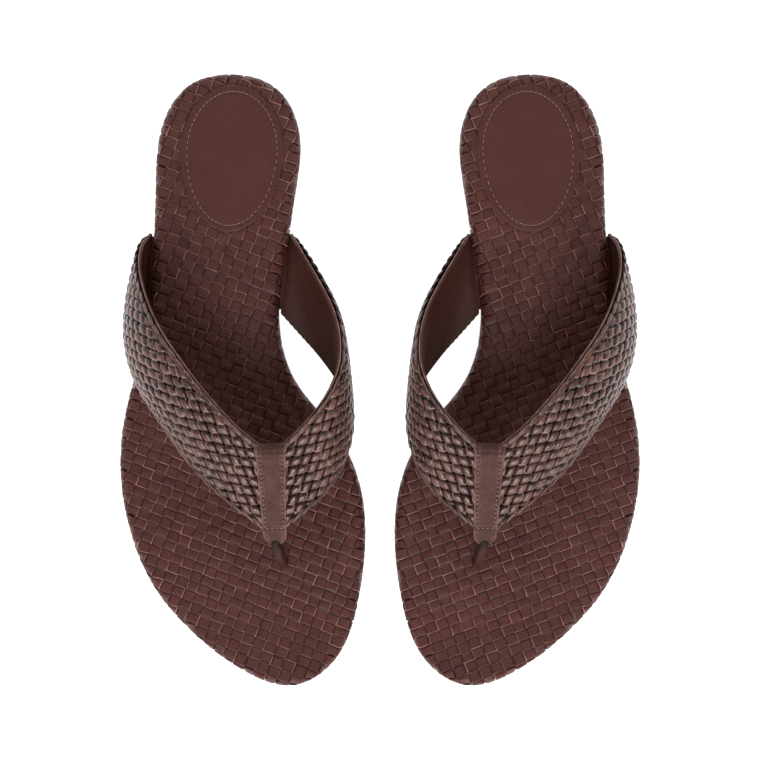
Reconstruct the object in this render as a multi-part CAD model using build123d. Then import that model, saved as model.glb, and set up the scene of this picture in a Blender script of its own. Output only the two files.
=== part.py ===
from build123d import *
import math
import os

# A pair of woven leather flip flops, resting on the floor at z = 0 with the heels towards +Y and the toes
# towards -Y. The right sandal is modelled at -X, and the left sandal is its mirror image in the YZ plane.
# The origin is on the floor at the middle of the pair. All sizes are in millimetres.

# ---- Sole: outline seen from above, from the back of the heel round the inner (medial) side ----
SOLE_OUTLINE = [
    (-60.5, 124.9), (-42.8, 119.3), (-33.9, 103.5), (-34.9, 78), (-39.2, 50), (-41.8, 24), (-35, -1),
    (-19.8, -20), (-9.6, -40), (-6.4, -64), (-9.4, -91), (-18.8, -114.7), (-35.5, -124.8), (-53.4, -120.2),
    (-76, -104.3), (-92.8, -84.6), (-103, -60), (-106.5, -32), (-102.6, -6), (-96, 18), (-93.2, 44),
    (-91.6, 76), (-88.6, 105), (-78.2, 120.4),
]

OUTLINE_STEPS = 72  # points on each layer's own outline

# ---- Sole: side profile, as the height of the outsole's underside above the floor ----
HEEL_LIFT = 6.0  # height of the heel under the outsole
TOE_SPRING = 6.0  # rise of the underside over the last SPRING_RUN of the toe
SPRING_RUN = 30.0
SPRING_Y = -95.0  # the toe starts to rise here
RISE_Y = -15.0  # the waist starts to rise here
BREAST_Y = 46.0  # front of the heel, where the waist has risen to HEEL_LIFT
SOLE_END = 130.0  # the profile runs past both ends of the outline

# ---- Sole: layers, from the floor up ----
OUTSOLE = 3.0
BOARD = 2.5
FOAM = 3.0
COVER = 1.5
OUTSOLE_INSET = 0.6  # the woven cover stands this far proud of the outsole
OUTSOLE_SHIFT = -0.6  # and the outsole sits this far towards the toe
WALL = 1.5  # thickness of the woven cover over the sides
TOP_PIECE = 2.0  # rubber under the heel
HEEL_TAPER = 1.4  # the heel is this much smaller than the woven cover all round
TACK_RADIUS = 0.9
TACK_LENGTH = 6.5
TACK_START = 0.8
TACK_PLACES = [(-63, 58), (-46, 74), (-80, 76), (-50, 104), (-74, 104)]

# ---- Heel pad: an egg-shaped oval of smooth leather with a line of stitches ----
PAD_CENTRE = (-60.5, 93.6)
PAD_WIDTH = 42.0
PAD_LENGTH = 60.0
PAD_TOP = 27.0  # from the centre to the end at the back of the heel
PAD_POINTS = 16
PAD_THICK = 0.9
PAD_TILT = 3.5  # degrees, the top of the oval leaning towards the big toe's side
STITCH_INSET = 2.6
STITCH_LENGTH = 1.7
STITCH_WIDTH = 0.5
STITCH_RISE = 0.25
PAD_STITCHES = 60

# ---- Strap: each wing as three curves, numbered from the toe tab to the sole ----
OUTER_WING = [
    [(-46.8, -60, 25.2), (-59.5, -49.5, 29), (-73, -36.2, 28.2), (-86.2, -18.2, 24.4), (-95.6, -4, 19.2),
     (-99.6, 6.5, 14.8), (-99, 14.5, 12), (-97, 19.5, 10.2), (-95.8, 22.5, 8.8)],
    [(-47.2, -43.5, 34.2), (-60, -34, 38.8), (-75.2, -20.5, 41.5), (-87.2, -5.5, 40.8), (-96.2, 8.5, 36.5),
     (-100.8, 21, 29.5), (-100.9, 31.5, 21.3), (-97.4, 38, 14), (-94.4, 41, 9.6)],
    [(-47.6, -26.3, 43.3), (-57.8, -17.6, 47.5), (-69.5, -4.5, 51), (-79.8, 9.3, 52.3), (-87.6, 21, 50),
     (-93.2, 33, 43), (-96.6, 45, 32), (-96.4, 54.5, 20), (-93.4, 60, 10)],
]
INNER_WING = [
    [(-39.6, -60, 25.2), (-30.8, -52.5, 28.4), (-21, -41.8, 28.6), (-14.6, -27.5, 27.2), (-13.2, -13.8, 23.4),
     (-17.4, -1.5, 18.4), (-24.5, 9, 14.8), (-33.2, 19, 11.2), (-40.8, 27.5, 9)],
    [(-39.9, -43.5, 34.2), (-31, -36, 37.8), (-21.2, -24, 41.5), (-15.3, -10, 41), (-14.8, 4, 37.5),
     (-17.2, 18, 31), (-23.4, 30.5, 23), (-31.8, 40, 15), (-39.2, 44, 9.8)],
    [(-40.3, -26.3, 43.3), (-32.2, -18.8, 47), (-22.9, -7.5, 50.5), (-17.5, 5, 52), (-17, 17.5, 50.5),
     (-20, 29, 45.5), (-26.2, 41, 36), (-32.8, 52, 23.5), (-37.1, 60, 10.3)],
]
LINING = 1.0
STRAP_WEAVE = 1.8
GLUE = 0.05  # gap between the glued layers
ALONG = 32  # steps along a wing
ACROSS = 6  # steps across it
NORMAL_STEP = 0.01  # step used to find the direction at right angles to the wing
SURFACE_TOLERANCE = 0.002
TAIL_LENGTH = 13.0  # the lining goes this far in between the insole board and the outsole
TAIL_THICK = 1.0
POCKET_PLAY = 0.3
OUTER_TAIL = ((-95.9, 23), (-93.9, 59))  # outer edge of each tail, where it leaves the wing
INNER_TAIL = ((-40.2, 29), (-36.9, 59))

# ---- Toe tab: a folded leather strip over the join of the two wings, in its own sloping plane ----
TAB_TOP = (-44.0, -26.5, 43.4)  # middle of its upper, folded edge, on the strap's inner face
TAB_TIP = (-42.4, -66.5, 21.9)
TAB_WIDTH = 12.4
TAB_LOW_WIDTH = 9.6  # width at the stitches across the lower end
TAB_LOW = 36.0  # distance of those stitches from the upper edge
TAB_LEATHER = 1.0
TAB_FOLD_WIDTH = 7.0  # the fold passes between the two wings
TAB_PLAY = 0.5  # between the tab and the strap's curved faces
TAB_TIP_ROUND = 4.5
TAB_UNDER = 41.5  # length of its inner side, which ends where the toe post begins
TAB_STITCH_INSET = 1.5
TAB_STITCHES = 15
TAB_CROSS_STITCHES = [-2.4, 0, 2.4]

# ---- Toe post: a folded strip round a webbing core, through a slit in the footbed ----
POST_PATH = [
    (-42.5, -63.8, 25.0), (-42.3, -67.6, 22.9), (-40.6, -73, 16.5), (-39.2, -75.7, 9), (-39.2, -75.8, 3.6),
]
POST_WIDTH = 3.4
POST_THICK = 3.2
POST_ROUNDING = 0.45  # radius of its edges, as a share of its thickness
CORE_WIDTH = 2.0
CORE_THICK = 1.4
POST_FOOT = (14.0, 11.0, 1.0)  # the splayed end, glued under the insole board
SLIT_PLAY = 0.6
STAPLE_WIRE = 0.7
STAPLE_SPAN = 9.0
STAPLE_LEG = 2.6
STAPLE_BACK = 3.4  # the staple is this far behind the post
STAPLE_PLAY = 0.5  # round the staple in its groove


def underside(y):
    """Height of the outsole's underside at y."""
    if y < SPRING_Y:
        return TOE_SPRING * ((SPRING_Y - y) / SPRING_RUN) ** 2
    rise = min(max((y - RISE_Y) / (BREAST_Y - RISE_Y), 0), 1)
    return HEEL_LIFT * rise * rise * (3 - 2 * rise)


def profile_edges(raised):
    """The underside's profile raised by a constant, as exact curves in the YZ plane, toe to heel."""
    toe, mid_toe = -SOLE_END, (SPRING_Y - SOLE_END) / 2
    third = (BREAST_Y - RISE_Y) / 3
    high = HEEL_LIFT + raised
    return [
        Bezier((0, toe, underside(toe) + raised), (0, mid_toe, raised), (0, SPRING_Y, raised)),
        Line((0, SPRING_Y, raised), (0, RISE_Y, raised)),
        Bezier(
            (0, RISE_Y, raised), (0, RISE_Y + third, raised), (0, BREAST_Y - third, high), (0, BREAST_Y, high)
        ),
        Line((0, BREAST_Y, high), (0, SOLE_END, high)),
    ]


def slab(low, high):
    """A layer that follows the sole's profile, from low to high above the underside, over both sides."""
    toe, heel = -SOLE_END, SOLE_END
    ends = [
        Line((0, toe, underside(toe) + low), (0, toe, underside(toe) + high)),
        Line((0, heel, HEEL_LIFT + low), (0, heel, HEEL_LIFT + high)),
    ]
    face = Face(Wire(profile_edges(low) + profile_edges(high) + ends))
    return extrude(face, SOLE_END, dir=(-1, 0, 0))


def outline_face(inset):
    """The sole's outline, made smaller by inset."""
    edge = Spline(*SOLE_OUTLINE, periodic=True)
    points = []
    for k in range(OUTLINE_STEPS):
        along = edge % (k / OUTLINE_STEPS)
        points.append((edge @ (k / OUTLINE_STEPS)) + Vector(along.Y, -along.X, 0) * inset)
    return Face(Wire(Spline(*points, periodic=True)))


def sole_layer(inset, low, high):
    """The sole's outline, inset, between two heights above the underside."""
    column = extrude(outline_face(inset), SOLE_END, dir=(0, 0, 1))
    return column & slab(low, high)


def blend(curve, station):
    """A point on the smooth curve through numbered stations (Catmull-Rom)."""
    k = min(int(station), len(curve) - 2)
    f = station - k
    before = Vector(*curve[max(k - 1, 0)])
    start, end = Vector(*curve[k]), Vector(*curve[k + 1])
    after = Vector(*curve[min(k + 2, len(curve) - 1)])
    return (
        start * 2
        + (end - before) * f
        + (before * 2 - start * 5 + end * 4 - after) * f**2
        + (start * 3 - before - end * 3 + after) * f**3
    ) * 0.5


def strap_point(wing, along, across):
    """A point on the wing's inner face: along and across both run from 0 to 1."""
    station = along * (len(wing[0]) - 1)
    front, middle, rear = (blend(curve, station) for curve in wing)
    return (
        front * ((1 - across) * (1 - 2 * across))
        + middle * (4 * across * (1 - across))
        + rear * (across * (2 * across - 1))
    )


def strap_grid(wing, raised, outward):
    """Rows of points at a constant distance outside the wing's inner face."""
    step = NORMAL_STEP
    grid = []
    for i in range(ALONG + 1):
        row = []
        for j in range(ACROSS + 1):
            a, c = i / ALONG, j / ACROSS
            lengthwise = strap_point(wing, min(a + step, 1), c) - strap_point(wing, max(a - step, 0), c)
            crosswise = strap_point(wing, a, min(c + step, 1)) - strap_point(wing, a, max(c - step, 0))
            normal = lengthwise.cross(crosswise).normalized() * outward
            row.append(strap_point(wing, a, c) + normal * raised)
        grid.append(row)
    return grid


def strap_layer(wing, low, high, outward):
    """A closed solid between two distances outside the wing's inner face."""
    inner, outer = [
        Face.make_surface_from_array_of_points(strap_grid(wing, raised, outward), tol=SURFACE_TOLERANCE)
        for raised in (low, high)
    ]
    sides = [Face.make_surface_from_curves(a, b) for a, b in zip(inner.edges(), outer.edges())]
    return Solid(Shell([inner, outer] + sides))


def strap_tail(edge, inward, play):
    """The flat tongue of a strap between board and outsole, or its pocket when play is given."""
    (x_low, low), (x_high, high) = edge
    out, into = -inward * play, inward * (TAIL_LENGTH + play)
    corners = [
        (x_low + out, low - play),
        (x_high + out, high + play),
        (x_high + into, high + play),
        (x_low + into, low - play),
    ]
    column = extrude(Face(Wire.make_polygon(corners)), SOLE_END, dir=(0, 0, 1))
    return column & slab(OUTSOLE + GLUE - play, OUTSOLE + GLUE + TAIL_THICK + play)


def strap(wing, outward, tail_edge):
    """One wing's woven layer, and its lining with the tongue that goes into the sole."""
    weave = strap_layer(wing, LINING + GLUE, LINING + GLUE + STRAP_WEAVE, outward)
    lining = strap_layer(wing, 0, LINING, outward)
    return weave, lining + strap_tail(tail_edge, -outward, 0)


def sole():
    """The layers of the sole, with the pockets, slit and holes that other pieces use."""
    top = OUTSOLE + BOARD + FOAM + COVER
    slit_x, slit_y, _ = POST_PATH[-1]
    pockets = strap_tail(OUTER_TAIL, 1, POCKET_PLAY) + strap_tail(INNER_TAIL, -1, POCKET_PLAY)
    slit = Pos(slit_x, slit_y, top) * Box(
        POST_WIDTH + 2 * SLIT_PLAY, POST_THICK + 2 * SLIT_PLAY, 2 * (top - OUTSOLE) + POCKET_PLAY
    )
    outsole = Pos(0, OUTSOLE_SHIFT, 0) * extrude(outline_face(OUTSOLE_INSET), SOLE_END, dir=(0, 0, 1))
    outsole = (outsole & slab(0, OUTSOLE)) - heel_tacks() - staple_groove()
    board = sole_layer(WALL, OUTSOLE, OUTSOLE + BOARD) - pockets - slit - post_foot(POCKET_PLAY) - staple()
    foam = sole_layer(WALL, OUTSOLE + BOARD, top - COVER) - slit
    cover = sole_layer(0, OUTSOLE, top) - sole_layer(WALL, OUTSOLE, top - COVER) - pockets - slit
    return {"outsole": outsole, "insole_board": board, "footbed_foam": foam, "footbed_cover": cover}


def heel_tacks():
    """The tacks that hold the heel, driven up from just inside the rubber."""
    tack = Cylinder(TACK_RADIUS, TACK_LENGTH, align=(Align.CENTER, Align.CENTER, Align.MIN))
    return Compound([Pos(x, y, TACK_START) * tack for x, y in TACK_PLACES])


def heel():
    """The rubber top piece and the leather lift above it, with a straight front."""
    block = Pos(0, BREAST_Y, 0) * Box(
        2 * SOLE_END, SOLE_END, 2 * HEEL_LIFT, align=(Align.CENTER, Align.MIN, Align.CENTER)
    )
    column = extrude(outline_face(HEEL_TAPER), HEEL_LIFT, dir=(0, 0, 1)) & block
    above_rubber = Pos(0, 0, TOP_PIECE) * Box(
        4 * SOLE_END, 4 * SOLE_END, HEEL_LIFT, align=(Align.CENTER, Align.CENTER, Align.MIN)
    )
    lift = (column & above_rubber) - heel_tacks()
    rubber = (column - above_rubber) - heel_tacks()
    return {"heel_lift": lift, "heel_top_piece": rubber, "heel_tacks": heel_tacks()}


def oval_point(inset, turn):
    """A point on the heel pad's outline, made smaller by inset, at a turn from 0 to 1."""
    angle = 2 * math.pi * turn
    half_length = PAD_TOP if math.sin(angle) > 0 else PAD_LENGTH - PAD_TOP
    x = (PAD_WIDTH / 2 - inset) * math.cos(angle)
    y = (half_length - inset) * math.sin(angle)
    tilt = math.radians(PAD_TILT)
    return (
        PAD_CENTRE[0] + x * math.cos(tilt) + y * math.sin(tilt),
        PAD_CENTRE[1] - x * math.sin(tilt) + y * math.cos(tilt),
    )


def stitch(length, width, rise):
    """One stitch, lying along X on the XY plane."""
    return Box(length, width, rise, align=(Align.CENTER, Align.CENTER, Align.MIN))


def heel_pad():
    """The smooth leather oval on the heel and its ring of stitches."""
    top = HEEL_LIFT + OUTSOLE + BOARD + FOAM + COVER
    oval = Face(Wire(Spline(*[oval_point(0, k / PAD_POINTS) for k in range(PAD_POINTS)], periodic=True)))
    pad = extrude(Pos(0, 0, top) * oval, PAD_THICK, dir=(0, 0, 1))
    stitches = []
    for k in range(PAD_STITCHES):
        x, y = oval_point(STITCH_INSET, k / PAD_STITCHES)
        next_x, next_y = oval_point(STITCH_INSET, (k + 0.01) / PAD_STITCHES)
        heading = math.degrees(math.atan2(next_y - y, next_x - x))
        place = Pos(x, y, top + PAD_THICK) * Rot(0, 0, heading)
        stitches.append(place * stitch(STITCH_LENGTH, STITCH_WIDTH, STITCH_RISE))
    return {"heel_pad": pad, "heel_pad_stitching": Compound(stitches)}


def tab_plane(raised):
    """The plane of the toe tab: X across it, Y up towards its folded edge, Z away from the foot."""
    along = (Vector(*TAB_TOP) - Vector(*TAB_TIP)).normalized()
    across = (Vector(1, 0, 0) - along * along.X).normalized()
    outward = across.cross(along)
    return Plane(origin=Vector(*TAB_TOP) + outward * raised, x_dir=across, z_dir=outward)


def tab_outline(length):
    """The tab's outline in its own plane: straight sides that narrow, and a rounded tip."""
    half, low = TAB_WIDTH / 2, TAB_LOW_WIDTH / 2
    shoulder = length - TAB_TIP_ROUND
    sides = Polyline(
        (-low, -shoulder), (-low, -TAB_LOW), (-half, 0), (half, 0), (low, -TAB_LOW), (low, -shoulder)
    )
    tip = ThreePointArc((low, -shoulder), (0, -length), (-low, -shoulder))
    return Face(Wire(sides.edges() + tip.edges()))


def toe_tab():
    """The leather strip folded over the strap's upper edge, and the stitches down its face."""
    inside, outside = -TAB_PLAY - TAB_LEATHER, LINING + GLUE + STRAP_WEAVE + TAB_PLAY
    length = (Vector(*TAB_TOP) - Vector(*TAB_TIP)).length
    under = extrude(tab_plane(inside) * tab_outline(TAB_UNDER), TAB_LEATHER, dir=tab_plane(0).z_dir)
    over = extrude(tab_plane(outside) * tab_outline(length), TAB_LEATHER, dir=tab_plane(0).z_dir)
    fold_height = outside + TAB_LEATHER - inside
    fold = tab_plane(inside) * Box(
        TAB_FOLD_WIDTH, TAB_LEATHER, fold_height, align=(Align.CENTER, Align.MIN, Align.MIN)
    )
    face = tab_plane(outside + TAB_LEATHER)
    sides = []
    for k in range(TAB_STITCHES):
        down = TAB_LOW * (k + 0.5) / TAB_STITCHES
        half = (TAB_WIDTH + (TAB_LOW_WIDTH - TAB_WIDTH) * down / TAB_LOW) / 2 - TAB_STITCH_INSET
        sides += [Pos(side * half, -down, 0) * Rot(0, 0, 90) for side in (-1, 1)]
    across = [Pos(x, -TAB_LOW, 0) for x in TAB_CROSS_STITCHES]
    stitches = [
        face.location * place * stitch(STITCH_LENGTH, STITCH_WIDTH, STITCH_RISE) for place in sides + across
    ]
    return {"toe_tab": under + over + fold, "toe_tab_stitching": Compound(stitches)}


def post_foot(play):
    """The splayed end of the toe post under the insole board, or its recess when play is given."""
    wide, long, thick = POST_FOOT
    x, y, _ = POST_PATH[-1]
    return Pos(x, y, OUTSOLE) * Box(
        wide + 2 * play, long + 2 * play, thick + play, align=(Align.CENTER, Align.CENTER, Align.MIN)
    )


def post_strip(width, thick):
    """A strip of constant section along the toe post's path."""
    path = Spline(*POST_PATH)
    start = Plane(origin=path @ 0, x_dir=(1, 0, 0), z_dir=path % 0)
    return sweep(start * RectangleRounded(width, thick, thick * POST_ROUNDING), path=path)


def staple():
    """The wire staple through the post's foot and the insole board."""
    x, y, _ = POST_PATH[-1]
    crown_low = OUTSOLE - STAPLE_WIRE - GLUE
    crown = Pos(x, y + STAPLE_BACK, crown_low) * Box(
        STAPLE_SPAN, STAPLE_WIRE, STAPLE_WIRE, align=(Align.CENTER, Align.CENTER, Align.MIN)
    )
    leg = Box(STAPLE_WIRE, STAPLE_WIRE, STAPLE_LEG, align=(Align.CENTER, Align.CENTER, Align.MIN))
    for side in (-1, 1):
        crown += Pos(x + side * (STAPLE_SPAN - STAPLE_WIRE) / 2, y + STAPLE_BACK, crown_low) * leg
    return crown


def staple_groove():
    """The groove in the outsole for the staple's crown."""
    x, y, _ = POST_PATH[-1]
    return Pos(x, y + STAPLE_BACK, OUTSOLE) * Box(
        STAPLE_SPAN + 2 * STAPLE_PLAY, STAPLE_WIRE + 2 * STAPLE_PLAY, 2 * STAPLE_WIRE + 4 * GLUE
    )


def toe_post():
    """The folded leather post with its webbing core and its staple."""
    core = post_strip(CORE_WIDTH, CORE_THICK)
    wrap = post_strip(POST_WIDTH, POST_THICK) - core
    wrap += post_foot(0) - post_strip(POST_WIDTH - GLUE, POST_THICK - GLUE)
    return {"toe_post": wrap - staple(), "toe_post_core": core, "toe_post_staple": staple()}


def straps():
    """Both wings of the strap, each a woven layer glued to a lining."""
    outer_weave, outer_lining = strap(OUTER_WING, -1, OUTER_TAIL)
    inner_weave, inner_lining = strap(INNER_WING, 1, INNER_TAIL)
    return {
        "outer_strap_weave": outer_weave,
        "outer_strap_lining": outer_lining,
        "inner_strap_weave": inner_weave,
        "inner_strap_lining": inner_lining,
    }


os.makedirs("parts", exist_ok=True)
sandal = {**sole(), **heel(), **heel_pad(), **straps(), **toe_tab(), **toe_post()}
for name, piece in sandal.items():
    export_step(piece, f"parts/right_{name}.step")
    export_step(mirror(piece, about=Plane.YZ), f"parts/left_{name}.step")
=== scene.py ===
"""A pair of woven leather flip flops. Sizes are in millimetres until a mesh is made, except where said."""

import math
import random

import bpy
import numpy as np
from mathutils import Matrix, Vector
from mathutils.bvhtree import BVHTree
from mathutils.geometry import barycentric_transform


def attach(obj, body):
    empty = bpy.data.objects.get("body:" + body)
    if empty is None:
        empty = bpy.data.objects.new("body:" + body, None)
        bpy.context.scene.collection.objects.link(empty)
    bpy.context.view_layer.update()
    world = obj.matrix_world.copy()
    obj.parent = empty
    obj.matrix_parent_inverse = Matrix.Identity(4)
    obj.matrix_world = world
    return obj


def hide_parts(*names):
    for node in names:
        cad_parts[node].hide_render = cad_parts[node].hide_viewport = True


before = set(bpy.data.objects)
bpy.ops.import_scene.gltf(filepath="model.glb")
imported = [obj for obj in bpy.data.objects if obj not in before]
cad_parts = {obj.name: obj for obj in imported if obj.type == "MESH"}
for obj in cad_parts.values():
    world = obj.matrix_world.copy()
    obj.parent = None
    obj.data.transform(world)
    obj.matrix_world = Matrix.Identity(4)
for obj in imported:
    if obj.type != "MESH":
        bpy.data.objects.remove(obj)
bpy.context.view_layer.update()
dice = random.Random(11)

MM = 0.001
SIDES = {"right": 1, "left": -1}  # the left sandal is the right one mirrored in the YZ plane

# ---- Sole, as in the CAD ----
SOLE_OUTLINE = [
    (-60.5, 124.9), (-42.8, 119.3), (-33.9, 103.5), (-34.9, 78), (-39.2, 50), (-41.8, 24), (-35, -1),
    (-19.8, -20), (-9.6, -40), (-6.4, -64), (-9.4, -91), (-18.8, -114.7), (-35.5, -124.8), (-53.4, -120.2),
    (-76, -104.3), (-92.8, -84.6), (-103, -60), (-106.5, -32), (-102.6, -6), (-96, 18), (-93.2, 44),
    (-91.6, 76), (-88.6, 105), (-78.2, 120.4),
]
HEEL_LIFT = 6.0
TOE_SPRING, SPRING_RUN, SPRING_Y = 6.0, 30.0, -95.0
RISE_Y, BREAST_Y = -15.0, 46.0
SOLE_STACK = 10.0  # outsole, board, foam and cover together
COVER_THICK = 1.5
COVER_HEIGHT = 7.0  # the cover's side, from the outsole up
OUTLINE_POINTS = 1400

# ---- Footbed weave ----
WEAVE_TURN = 21.0  # degrees, the strips across the foot run down towards the big toe
LONG_PITCH, LONG_WIDTH = 4.87, 4.72
CROSS_PITCH, CROSS_WIDTH = 4.06, 3.92
FOOTBED_STRIP = 0.72  # thickness of a strip
FOOTBED_LIFT = 0.36  # how far a strip rises and falls from the middle of the weave
FOOTBED_REACH = 150  # the strips are laid this far from the middle of the sole
RIM_RADIUS = 3.0
WALL_SPARE, WALL_GATHER = 1.9, 0.1  # length past the bottom of the side, gathered into this share of itself
RIM_PUFF, PUFF_RUN = 0.7, 2.0  # the strips stand out by this share more round the rim, in full past this run

# ---- Strap wings, as in the CAD: front, middle and rear curves from the toe tab to the sole ----
OUTER_WING = [
    [(-46.8, -60, 25.2), (-59.5, -49.5, 29), (-73, -36.2, 28.2), (-86.2, -18.2, 24.4), (-95.6, -4, 19.2),
     (-99.6, 6.5, 14.8), (-99, 14.5, 12), (-97, 19.5, 10.2), (-95.8, 22.5, 8.8)],
    [(-47.2, -43.5, 34.2), (-60, -34, 38.8), (-75.2, -20.5, 41.5), (-87.2, -5.5, 40.8), (-96.2, 8.5, 36.5),
     (-100.8, 21, 29.5), (-100.9, 31.5, 21.3), (-97.4, 38, 14), (-94.4, 41, 9.6)],
    [(-47.6, -26.3, 43.3), (-57.8, -17.6, 47.5), (-69.5, -4.5, 51), (-79.8, 9.3, 52.3), (-87.6, 21, 50),
     (-93.2, 33, 43), (-96.6, 45, 32), (-96.4, 54.5, 20), (-93.4, 60, 10)],
]
INNER_WING = [
    [(-39.6, -60, 25.2), (-30.8, -52.5, 28.4), (-21, -41.8, 28.6), (-14.6, -27.5, 27.2), (-13.2, -13.8, 23.4),
     (-17.4, -1.5, 18.4), (-24.5, 9, 14.8), (-33.2, 19, 11.2), (-40.8, 27.5, 9)],
    [(-39.9, -43.5, 34.2), (-31, -36, 37.8), (-21.2, -24, 41.5), (-15.3, -10, 41), (-14.8, 4, 37.5),
     (-17.2, 18, 31), (-23.4, 30.5, 23), (-31.8, 40, 15), (-39.2, 44, 9.8)],
    [(-40.3, -26.3, 43.3), (-32.2, -18.8, 47), (-22.9, -7.5, 50.5), (-17.5, 5, 52), (-17, 17.5, 50.5),
     (-20, 29, 45.5), (-26.2, 41, 36), (-32.8, 52, 23.5), (-37.1, 60, 10.3)],
]
LINING, STRAP_WEAVE = 1.05, 1.8  # thicknesses
COLUMN_PITCH, COLUMN_WIDTH = 4.1, 3.9
ROW_PITCH, ROW_WIDTH = 5.0, 4.55
FRONT_TRIM, REAR_TRIM = 1.3, 1.5  # the strips end this far inside the wing's edges
EDGE_DROP, DROP_RUN = 0.7, 1.5  # and dip by this much there, over this distance
ROW_BEND = 0.0022  # per mm, the rows turn down as they go outward
COLUMN_LEAN = 30.0  # degrees, the columns lean outward as they go up
STRAP_STRIP = 1.15  # thickness of a strip
STRAP_LIFT = 0.52  # how far a strip rises and falls
STRAP_REACH = 160  # the strips are laid this far from the wing's corner
ROW_TURN = 13.0  # degrees, the rows' slope where the wings leave the tab
WING_STEPS, WING_ACROSS = 64, 14
EVEN_ROUNDS, EVEN_SHARE = 400, 0.12  # how often, and by what share, the flat pattern's lengths are corrected
PATTERN_EDGE = 0.02  # a point this near the flat pattern is on it
EDGE_SAMPLES = 400

# ---- The wings' edges: turned pads along both, a rope under the front ones and a lip under the rear ----
TURNED_STEP, TURNED_REACH = 5.6, 8.2  # spacing and length of the pads
# Places along a pad, and its share of its full size there
TURNED_SIZES = [(-0.5, 0.15), (-0.42, 0.6), (-0.25, 0.92), (0, 1), (0.25, 0.95), (0.4, 0.7), (0.5, 0.2)]
TURNED_AROUND = 10
TURNED_HALF_THICK = 0.66
TURNED_RISE, TURNED_SLOPE, TURNED_SLANT = 0.1, 0.9, 1.0  # a pad's middle, and its slopes down and inwards
TURNED_TONES = (0.2, 0.8)
FRONT_TURNED_IN, FRONT_TURNED_HALF = 0.9, 1.1  # place in from the edge, and half width
REAR_TURNED_IN, REAR_TURNED_HALF = 1.35, 1.35
ROPE_DOWN, LIP_DOWN, UNDER_IN = 0.6, 0.9, 0.1  # depths under the weave's middle, and place in from its edge
ROPE_RINGS, ROPE_AROUND = 260, 10
ROPE_RADIUS, ROPE_LOBE, ROPE_TURN = 0.6, 0.3, 2.6  # the last is half a turn's length
LIP_WIDTH, LIP_THICK = 0.7, 0.45

# ---- Toe tab and post, as in the CAD ----
TAB_TOP = np.array((-44.0, -26.5, 43.4))
TAB_TIP = np.array((-42.4, -66.5, 21.9))
TAB_WIDTH, TAB_LOW_WIDTH, TAB_LOW = 12.4, 9.6, 36.0  # the lower width is at TAB_LOW down from the top
TAB_FACE, TAB_BACK = 3.75, 1.35  # mid thickness of its face and back, from the strap's inner face
TAB_BACK_LENGTH = 34.0  # how far down the inner side it reaches
FOLD_START, FOLD_END = 1.0, 1.0  # how far down its back and its face the rolled upper edge ends
FOLD_BULGE, FOLD_SINK, FOLD_TURN, FOLD_EXTRA = 1.1, 0.2, 80, 0.35  # rise, fall, degrees, extra half width
TIP_ROUND, TIP_GAP, TIP_SAG = 6.5, 0.15, 0.028  # rounded length, what its end lacks, and how it bends down
TAB_FLAT = 0.46  # height of the leather's surface where there is no panel
CREASE_DEPTH, CREASE_RUN = 0.42, 0.7
PANEL_HALF = 0.6  # share of the half width
PANEL_START, PANEL_START_RUN = 0.6, 1.2  # where the raised panel begins under the fold
PANEL_STOP, PANEL_STOP_RUN = 1.6, 1.4  # and where it ends above TAB_LOW
ROW_STITCHES, ROW_START = 17, 2.2
ROW_SHORT, ROW_PLACE, ROW_HEADING = 3.2, 0.73, 2  # less than TAB_LOW, share of the half width, and degrees
SHORT_ROW = (-2.9, -0.95, 0.95, 2.9)
TAB_STITCH = (1.25, 0.38)  # length and width
POST_PATH = [(-42.5, -63.8, 25.0), (-42.3, -67.6, 22.9), (-40.6, -73, 16.5), (-39.2, -75.7, 9),
             (-39.2, -75.8, 3.6)]
POST_WIDTH, POST_THICK = 3.4, 3.2
POST_RINGS, POST_AROUND = 26, 24
POST_START_TURN, POST_TURN = -8, 28  # degrees
POST_SWELL, SWELL_RINGS = 0.12, 16
POST_SQUARENESS = (0.7, 0.8)  # powers: 1 makes an ellipse, less is squarer
GROOVE_DEPTH, GROOVE_PLACE, GROOVE_WIDTH = 0.8, 0.1, 0.35

# ---- Heel pad, as in the CAD ----
PAD_CENTRE = (-60.5, 93.6)
PAD_WIDTH, PAD_LENGTH, PAD_TOP, PAD_TILT = 42.0, 60.0, 27.0, 3.5
PAD_AROUND = 120
STITCH_INSET, STITCH_HEIGHT, PAD_STITCHES = 2.6, 0.74, 62
PAD_STITCH = (1.75, 0.3)  # length and width


# ---- Curves ----

GAP_BLOCK = 4000  # points measured at once


def periodic_curve(points, count):
    """Evenly spaced points on the closed cubic spline through the given ones."""
    p = np.array(points, float)
    n = len(p)
    step = np.linalg.norm(np.roll(p, -1, 0) - p, axis=1)
    matrix = np.zeros((n, n))
    right = np.zeros_like(p)
    for k in range(n):
        before, after = step[k - 1], step[k]
        matrix[k, k - 1] += before
        matrix[k, k] += 2 * (before + after)
        matrix[k, (k + 1) % n] += after
        right[k] = 6 * ((p[(k + 1) % n] - p[k]) / after - (p[k] - p[k - 1]) / before)
    bend = np.linalg.solve(matrix, right)
    knots = np.concatenate([[0], np.cumsum(step)])
    fine = []
    for t in np.linspace(0, knots[-1], 8 * count, endpoint=False):
        k = min(int(np.searchsorted(knots, t, side="right")) - 1, n - 1)
        h = step[k]
        a, b = (knots[k + 1] - t) / h, (t - knots[k]) / h
        nxt = (k + 1) % n
        curved = ((a**3 - a) * bend[k] + (b**3 - b) * bend[nxt]) * h * h / 6
        fine.append(a * p[k] + b * p[nxt] + curved)
    fine = np.array(fine)
    length = np.concatenate([[0], np.cumsum(np.linalg.norm(np.roll(fine, -1, 0) - fine, axis=1))])
    where = np.linspace(0, length[-1], count, endpoint=False)
    closed = np.vstack([fine, fine[:1]])
    return np.column_stack([np.interp(where, length, closed[:, c]) for c in range(p.shape[1])])


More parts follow.
